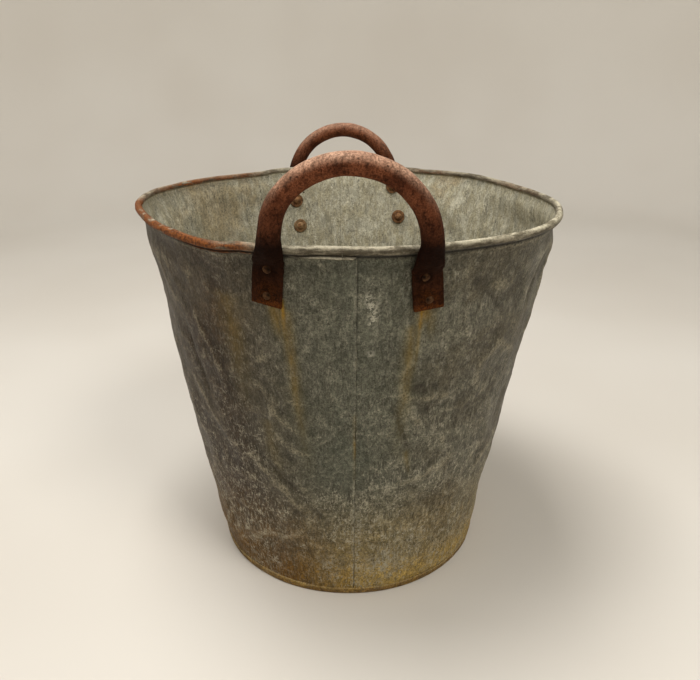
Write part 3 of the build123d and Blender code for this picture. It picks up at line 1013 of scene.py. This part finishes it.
def make_panel(name, node, start, end):
    """Half of the wall, with its share of the rolled rim and its flange over the next half."""
    azimuth, z, (outer, inner) = wall_grids(start + BUTT_GAP, end - BUTT_GAP)
    lap_azimuth, lap_z, (lap_outer, lap_inner) = lap_grids(end)
    shift = np.hypot(outer[:, : len(z), 0], outer[:, : len(z), 1]) - wall_radius(z)
    relief = np.clip((shift - blurred(shift)) / RELIEF_HEIGHT + 0.5, 0, 1)
    paints = []
    for inside in (0, 1):
        # Relief for the dents' painted shade and highlight; on the inner face it is reversed and
        # weaker.
        height = relief if inside == 0 else 0.5 + 0.35 * (0.5 - relief)
        wall = wall_paints(azimuth, z, height, inside)
        paints.append(side_by_side(wall, roll_paints(azimuth, inside)))
    # Along the flange's edge, a painted highlight: ridge relief, and extra white-oxide paint that
    # is stronger lower down.
    edge = np.broadcast_to(smooth(2.6, LAP, lap_azimuth - end), lap_outer.shape[:2])
    lap_paint = wall_paints(np.broadcast_to(lap_azimuth, edge.shape), lap_z, 0.5 + 0.5 * edge, 0)
    low_share = 1 - smooth(150 * MM, 330 * MM, lap_z)
    lap_paint["bloom"] = lap_paint["bloom"] + edge * (0.3 + 0.35 * low_share)
    paints += [lap_paint, lap_paint]
    parts = [thick_sheet(outer, inner), thick_sheet(lap_outer, lap_inner)]
    panel = make_object(name, parts, zinc, end_to_end(*paints))
    mount(panel, "zinc", node)


make_panel("wall_left_half", "body_panel_left", REAR_BUTT, FRONT_BUTT)
make_panel("wall_right_half", "body_panel_right", FRONT_BUTT, REAR_BUTT + 360)


# ------------------------------------------------------------------- wire and bottom

ROUND = np.arange(0, 360, AZIMUTH_STEP)[:, None]


def make_wire():
    """The wire inside the roll, which follows the waves of the rim."""
    out, up = rim_shift(ROUND)
    around = np.radians(np.arange(0, 360, 360 / WIRE_FACETS))
    radius = RING_R + out + WIRE_R * np.cos(around)
    height = RIM_Z + up + WIRE_R * np.sin(around)
    points = on_round(ROUND, radius, height)
    columns, rows = points.shape[:2]
    index = np.arange(columns * rows).reshape(columns, rows)
    right = np.roll(index, -1, axis=0)
    quads = np.stack((index, right, np.roll(right, -1, 1), np.roll(index, -1, 1)), -1)
    wire = make_object(
        "rim_wire_rod", [(points.reshape(-1, 3), quads.reshape(-1, 4))], wire_material(), {}
    )
    mount(wire, "wire", "rim_wire")


def pan_line():
    """Middle of the bottom's sheet from its centre to the top of the hem: radii and heights."""
    half = SHEET / 2
    skirt_r = SKIRT_R - half
    corner_r = skirt_r - FLOOR_CORNER
    corner_z = FLOOR_TOP - half - FLOOR_CORNER
    disc = [(r, FLOOR_TOP - half) for r in np.linspace(0, corner_r, FLOOR_RINGS)]
    bend = [
        (corner_r + FLOOR_CORNER * math.sin(a), corner_z + FLOOR_CORNER * math.cos(a))
        for a in np.radians((22, 45, 68, 90))
    ]
    turn_r = (wall_radius(0) + FIT_GAP + half - skirt_r) / 2
    centre = skirt_r + turn_r
    low = half + turn_r
    skirt = [(skirt_r, z) for z in np.linspace(FLOOR_TOP - 2 * FLOOR_CORNER, low, 5)]
    fold = [
        (centre - turn_r * math.cos(a), low - turn_r * math.sin(a))
        for a in np.radians((30, 60, 90, 120, 150))
    ]
    hem = [(wall_radius(z) + FIT_GAP + half, z) for z in np.linspace(low, HEM_TOP, 7)]
    return np.array(disc + bend + skirt + fold + hem)


def make_pan():
    """The recessed bottom, with the hem that grips the foot of the wall."""
    line = pan_line()
    ahead = np.gradient(line, axis=0)
    ahead /= np.linalg.norm(ahead, axis=1, keepdims=True)
    normal = np.stack((-ahead[:, 1], ahead[:, 0]), axis=-1)  # upwards on the disc
    true = on_round(ROUND, line[:, 0], line[:, 1])
    edge = on_round(ROUND, WALL_AT_HEM, HEM_TOP)
    out = sheet_shift(ROUND, line[:, 1])[0]
    rim_share = smooth(0.5, 1.0, line[:, 0] / SKIRT_R)
    hem_share = smooth(SKIRT_R, WALL_AT_HEM, line[:, 0]) * smooth(2 * MM, HEM_TOP, line[:, 1])
    disc_share = 1 - smooth(0.86, 0.98, line[:, 0] / SKIRT_R)
    sag = 0.9 * swell_noise.layered(true, 90 * MM, 3) * disc_share * MM
    loose = np.maximum(edge_noise.layered(edge, 55 * MM, 3), -0.15) * 0.55 * MM
    ragged = 0.9 * edge_noise.layered(edge + 5.0, 45 * MM, 3) * MM
    faces = []
    for side in (0.5, -0.5):
        r = line[:, 0] + side * SHEET * normal[:, 0] + out * rim_share + loose * hem_share
        z = line[:, 1] + side * SHEET * normal[:, 1] + sag + ragged * hem_share**2
        faces.append(on_round(ROUND, np.maximum(r, 0), np.maximum(z, 0)))
    lip = hem_share**4
    # The hem's top edge is worn, and also lighter as a painted highlight.
    worn_and_highlit = smooth(0.6, 1.0, hem_share)
    faces_paints = [
        paint_set(
            true.shape[:2],
            brown=0.3,
            pale_dirt=0.4 + 0.6 * lip,
            inside=disc_share * inside,
            grime=np.clip(0.95 - 0.35 * worn_and_highlit + 0.35 * lip - 0.2 * disc_share, 0, 1),
            # The hem's top edge gets a ridge's relief: a painted highlight along it.
            relief=0.4 + 0.6 * lip,
            flecked=0.4,
            ochre=0.25 * np.clip(edge_noise(edge, 40 * MM), 0, 1),
            rust=0.12,
        )
        for inside in (1, 0)
    ]
    pan = make_object(
        "bottom_with_hem", [thick_sheet(*faces, closed=True)], zinc, end_to_end(*faces_paints)
    )
    mount(pan, "zinc", "bottom_pan")


make_wire()
make_pan()


# --------------------------------------------------------------- handles and fixings

forge_noise = Noise(21)


def drop_specks(mesh):
    """Keeps the largest connected piece of a mesh: remeshing can leave tiny loose ones."""
    work = bmesh.new()
    work.from_mesh(mesh)
    reached = set()
    islands = []
    for start in work.verts:
        if start in reached:
            continue
        reached.add(start)
        island = [start]
        for vert in island:  # it grows while it is walked through
            for edge in vert.link_edges:
                other = edge.other_vert(vert)
                if other not in reached:
                    reached.add(other)
                    island.append(other)
        islands.append(island)
    islands.sort(key=len)
    specks = [vert for island in islands[:-1] for vert in island]
    bmesh.ops.delete(work, geom=specks, context="VERTS")
    work.to_mesh(mesh)
    work.free()


def even_mesh(node, voxel, passes):
    """A CAD node's own shape as an even, slightly softened mesh."""
    work = bmesh.new()
    work.from_mesh(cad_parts[node].data)
    bmesh.ops.remove_doubles(work, verts=work.verts, dist=CAD_SAME_POINT)
    mesh = bpy.data.meshes.new(node + "_source")
    work.to_mesh(mesh)
    work.free()
    source = bpy.data.objects.new(node + "_source", mesh)
    bpy.context.scene.collection.objects.link(source)
    remesh = source.modifiers.new("even", "REMESH")
    remesh.mode = "VOXEL"
    remesh.voxel_size = voxel
    soften = source.modifiers.new("soften", "SMOOTH")
    soften.factor = 0.5
    soften.iterations = passes
    shown = source.evaluated_get(bpy.context.evaluated_depsgraph_get())
    result = bpy.data.meshes.new_from_object(shown)
    bpy.data.objects.remove(source)
    bpy.data.meshes.remove(mesh)
    drop_specks(result)
    return result


def points_of(mesh):
    """The vertices of a mesh as an array."""
    points = np.zeros(len(mesh.vertices) * 3)
    mesh.vertices.foreach_get("co", points)
    return points.reshape(-1, 3)


def normals_of(mesh):
    """The vertex normals of a mesh as an array."""
    normals = np.zeros(len(mesh.vertices) * 3, np.float32)
    mesh.vertex_normals.foreach_get("vector", normals)
    return normals.reshape(-1, 3).astype(float)


def move_points(mesh, points):
    """Gives the vertices of a mesh new places."""
    mesh.vertices.foreach_set("co", points.astype(np.float32).ravel())
    mesh.update()


HANDLE_VOXEL = 0.9 * MM
HANDLE_PASSES = 6  # of softening
FIXING_VOXEL = 0.38 * MM
FIXING_PASSES = 3
ROOT_PASSES = 250  # of averaging, where a tab becomes the leg
DARK_BAND = {"front": RIM_Z + 3 * MM, "rear": RIM_Z - 8 * MM}  # height of the legs' blackest painted shade, where they pass the rim
# How strongly each handle's top is worn and given a painted highlight.
HANDLE_WEAR_AND_HIGHLIGHT = {"front": 1.0, "rear": 0.6}
LEG_BEND = 2.4 * MM  # the front handle's left leg is bent in by this much
LEG_BEND_Z = RIM_Z + 16 * MM
LEG_BEND_SPREAD = 22 * MM
DARK_RING_R = 5.5 * MM  # of the ring of painted shade round each rivet's end


def blended_root(mesh, points, share):
    """The points with their depth and height evened out where share is 1, from leg to tab."""
    edges = np.zeros(len(mesh.edges) * 2, np.int32)
    mesh.edges.foreach_get("vertices", edges)
    one, other = edges.reshape(-1, 2).T
    ends = np.concatenate((one, other))
    starts = np.concatenate((other, one))
    count = np.bincount(ends, minlength=len(points))
    points = points.copy()
    for _ in range(ROOT_PASSES):
        for axis in (1, 2):
            old = points[:, axis]
            total = np.bincount(ends, old[starts], len(points))
            points[:, axis] = old + (total / count - old) * share
    return points


def shape_handle(side, mesh, normals):
    """Gives a remeshed handle its uneven bar and hammered tabs. Returns how far each point
    is on a tab, from 0 to 1."""
    points = points_of(mesh)
    uppers = [middle_of(f"rivet_{side}_{leg}_upper")[2] for leg in LEGS]
    above = points[:, 2] - np.where(points[:, 0] < 0, *uppers)
    root = smooth(-3 * MM, 2 * MM, above) * (1 - smooth(20 * MM, 32 * MM, above))
    off_wall = np.hypot(points[:, 0], points[:, 1]) - wall_radius(points[:, 2])
    root = root * smooth(1.2 * MM, 2.4 * MM, off_wall)
    points = blended_root(mesh, points, root)
    on_tab = 1 - smooth(max(uppers) + 4 * MM, max(uppers) + 26 * MM, points[:, 2])
    uneven = 0.45 * forge_noise.layered(points, 34 * MM, 3)
    hammered = -0.35 * forge_noise.ridged(points, 13 * MM)
    outer_face = smooth(0.2, 0.8, normals[:, 1] * OUTWARDS[side])
    push = uneven * (1 - 0.85 * on_tab) + hammered * on_tab * outer_face
    points = points + normals * push[:, None] * MM
    if side == "front":
        bend = LEG_BEND * bell(points[:, 2] - LEG_BEND_Z, LEG_BEND_SPREAD)
        points[:, 0] += bend * (points[:, 0] < 0)
    move_points(mesh, points)
    return on_tab


def handle_paints(side, points, normals, on_tab):
    """Worn and with a painted highlight on top, black on the legs partly as painted shade, and
    orange at the foot of the tabs.
    """
    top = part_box(f"handle_{side}")[1].z
    rivets = {key: middle_of("_".join(("rivet", side) + key)) for key in product(LEGS, LEVELS)}
    tab_top = max(rivets[leg, "upper"][2] for leg in LEGS)
    height = (points[:, 2] - tab_top) / (top - tab_top)
    # Painted shade where a leg passes the rim, and darker lower down: dark rust and painted
    # shade.
    past_rim_shade = bell(points[:, 2] - DARK_BAND[side], 17 * MM)
    # Upward faces get more: a painted highlight from the light above.
    upward = smooth(-0.1, 0.95, normals[:, 2])
    leg_dark_and_shade = 1 - smooth(0.1, 0.78, height)
    feet = [rivets[leg, "lower"] for leg in LEGS]
    to_feet = [np.linalg.norm(points - foot, axis=1) for foot in feet]
    foot_z = np.choose(np.argmin(to_feet, axis=0), [foot[2] for foot in feet])
    corroded = smooth(4 * MM, 9 * MM, foot_z - points[:, 2])
    to_rivets = [np.linalg.norm((points - r)[:, (0, 2)], axis=1) for r in rivets.values()]
    # A ring of painted shade round each rivet.
    ring = bell(np.min(to_rivets, axis=0) - DARK_RING_R, 1.6 * MM)
    orange = 0.05 + 0.4 * bell(np.min(to_feet, axis=0), 11 * MM) + 0.5 * corroded
    return {
        "worn_and_highlit": upward * smooth(0.3, 0.85, height) * HANDLE_WEAR_AND_HIGHLIGHT[side],
        "black": np.clip(0.84 * leg_dark_and_shade + 0.22 * past_rim_shade + 0.4 * ring * on_tab, 0, 0.97),
        "orange": on_tab * np.clip(orange, 0, 1),
    }


def make_handle(side):
    """A forged bar handle."""
    node = f"handle_{side}"
    mesh = even_mesh(node, HANDLE_VOXEL, HANDLE_PASSES)
    normals = normals_of(mesh)
    on_tab = shape_handle(side, mesh, normals)
    paints = handle_paints(side, points_of(mesh), normals, on_tab)
    iron = iron_material(f"rusted_iron_{side}")
    mount(finish_mesh(f"bar_{node}", mesh, iron, paints, SHARP_FORGED), "iron", node)


for side in OUTWARDS:
    make_handle(side)

TAN_FIXINGS = (("rear", "left", "lower"),)  # with a thick tan crust
TAN_CRUST = 0.75
THIN_CRUST = 0.12
fixings = fixing_material()


def make_fixing(kind, side, leg, level):
    """A rivet or washer, battered and rusted. Outside, the rivet's end is hammered hollow."""
    node = f"{kind}_{side}_{leg}_{level}"
    mesh = even_mesh(node, FIXING_VOXEL, FIXING_PASSES)
    points, normals = points_of(mesh), normals_of(mesh)
    middle = points.mean(axis=0)
    out_of_wall = (points[:, 1] - middle[1]) * OUTWARDS[side]
    outer_end = smooth(0.2, 0.7, out_of_wall / out_of_wall.max())
    hollow = bell(np.linalg.norm((points - middle)[:, (0, 2)], axis=1), 2.2 * MM)
    push = 0.28 * forge_noise.layered(points, 7 * MM, 3)
    if kind == "rivet":
        push = push - 0.9 * outer_end * hollow
    move_points(mesh, points + normals * push[:, None] * MM)
    crust = TAN_CRUST if (side, leg, level) in TAN_FIXINGS else THIN_CRUST
    rough = np.clip(forge_noise(points, 5 * MM) + 0.5, 0, 1)
    paints = {
        "tan": crust * rough * (1 - outer_end if kind == "rivet" else 1),
        "black": outer_end * (0.55 + 0.45 * hollow) if kind == "rivet" else 0.3 * rough,
    }
    mount(finish_mesh(f"old_{node}", mesh, fixings, paints, SHARP_FORGED), "fixings", node)


for side, leg, level, kind in product(OUTWARDS, LEGS, LEVELS, ("rivet", "washer")):
    make_fixing(kind, side, leg, level)


# ---------------------------------------------------------------- studio and camera

BACKDROP_R = 2.4
COVE_R = 0.6
BACKDROP_HEIGHT = 1.7
SKY_COLOUR = (1.0, 0.985, 0.96, 1)
SKY_STRENGTH = 0.22
# Square area lights: name, place, height of the point on the axis that it faces, side,
# power in watts, colour.
LIGHTS = (
    ("key", (0.8, -1.2, 2.1), 0.25, 0.7, 23, (1.0, 0.96, 0.90)),
    ("fill", (-1.2, -0.7, 1.9), 0.25, 1.0, 5, (1.0, 0.93, 0.88)),
    ("top", (-0.4, 0.0, 2.3), 0.2, 0.9, 40, (1.0, 0.97, 0.93)),
)
SENSOR_WIDTH = 36
CAMERA_LENS = 36.77
CAMERA_PLACE = (0.0016, -0.775, 0.563)
CAMERA_DIP = 22.72  # degrees below the horizon


def make_studio():
    """A pale floor that rises in a cove to a round backdrop."""
    flat = [(r, 0.0) for r in (0.0, 0.3, 0.7, 1.2, BACKDROP_R - COVE_R)]
    cove = [
        (BACKDROP_R - COVE_R + COVE_R * math.sin(a), COVE_R - COVE_R * math.cos(a))
        for a in np.radians(np.arange(10, 91, 10))
    ]
    line = np.array(flat + cove + [(BACKDROP_R, BACKDROP_HEIGHT)])
    azimuth = np.arange(0, 360, 5)[:, None]
    top = on_round(azimuth, line[:, 0], line[:, 1])
    under = on_round(azimuth, line[:, 0] * 1.004, line[:, 1] - 5 * MM)
    pale = stage_material("pale_floor", srgb(208, 203, 194), srgb(214, 210, 202))
    studio = make_object("studio", [thick_sheet(top, under, closed=True)], pale, {})


def make_light(name, place, aim_z, side, power, colour):
    """A square area light that faces a point on the bucket's axis."""
    data = bpy.data.lights.new(name, "AREA")
    data.shape = "RECTANGLE"
    data.size = side
    data.size_y = side
    data.energy = power
    data.color = colour
    light = bpy.data.objects.new(name, data)
    light.location = place
    x, y, z = np.array((0, 0, aim_z)) - np.array(place)
    light.rotation_euler = (
        math.pi / 2 + math.atan2(z, math.hypot(x, y)),
        0,
        math.atan2(y, x) - math.pi / 2,
    )
    bpy.context.scene.collection.objects.link(light)


def make_world():
    """Even pale light from all round."""
    world = bpy.data.worlds.new("soft_sky")
    world.use_nodes = True
    background = world.node_tree.nodes["Background"]
    background.inputs["Color"].default_value = SKY_COLOUR
    background.inputs["Strength"].default_value = SKY_STRENGTH
    bpy.context.scene.world = world


def make_camera():
    """The camera, in front of the bucket and a little above its rim."""
    data = bpy.data.cameras.new("camera")
    data.sensor_width = SENSOR_WIDTH
    data.lens = CAMERA_LENS
    camera = bpy.data.objects.new("camera", data)
    camera.location = CAMERA_PLACE
    camera.rotation_euler = (math.radians(90 - CAMERA_DIP), 0, 0)
    bpy.context.scene.collection.objects.link(camera)
    bpy.context.scene.camera = camera


make_studio()
make_world()
for light in LIGHTS:
    make_light(*light)
make_camera()
bpy.context.scene.view_settings.view_transform = "Standard"
